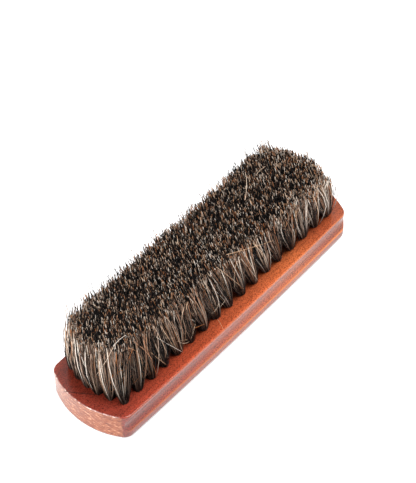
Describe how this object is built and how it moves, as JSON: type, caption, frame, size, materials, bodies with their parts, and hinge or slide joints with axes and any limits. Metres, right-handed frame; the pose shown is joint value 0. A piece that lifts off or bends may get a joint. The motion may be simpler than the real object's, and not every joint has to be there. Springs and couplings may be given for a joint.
{
  "type": "shoe shine brush",
  "caption": "Wooden shoe brush without a handle: a lacquered block, grooved along both sides for the fingers, set with rows of trimmed horsehair tufts for polishing.",
  "frame": {"origin": "middle of the block's flat back, on the surface that the brush lies on", "axes": "+X along the brush, +Y across it, +Z the way the bristles point"},
  "size_m": [0.17, 0.047, 0.047],
  "materials": {
    "lacquered_wood": "glossy lacquer",
    "hair": "natural horsehair",
    "anchor_wire": "bare wire"
  },
  "bodies": {
    "root": {"block": "lacquered_wood", "tuft_row_01": "hair", "tuft_row_02": "hair", "tuft_row_03": "hair", "tuft_row_04": "hair", "tuft_row_05": "hair", "tuft_row_06": "hair", "tuft_row_07": "hair", "tuft_row_08": "hair", "tuft_row_09": "hair", "tuft_row_10": "hair", "tuft_row_11": "hair", "tuft_row_12": "hair", "tuft_row_13": "hair", "tuft_row_14": "hair", "tuft_row_15": "hair", "tuft_row_16": "hair", "tuft_row_17": "hair", "anchor_row_01": "anchor_wire", "anchor_row_02": "anchor_wire", "anchor_row_03": "anchor_wire", "anchor_row_04": "anchor_wire", "anchor_row_05": "anchor_wire", "anchor_row_06": "anchor_wire", "anchor_row_07": "anchor_wire", "anchor_row_08": "anchor_wire", "anchor_row_09": "anchor_wire", "anchor_row_10": "anchor_wire", "anchor_row_11": "anchor_wire", "anchor_row_12": "anchor_wire", "anchor_row_13": "anchor_wire", "anchor_row_14": "anchor_wire", "anchor_row_15": "anchor_wire", "anchor_row_16": "anchor_wire", "anchor_row_17": "anchor_wire"}
  },
  "joints": []
}
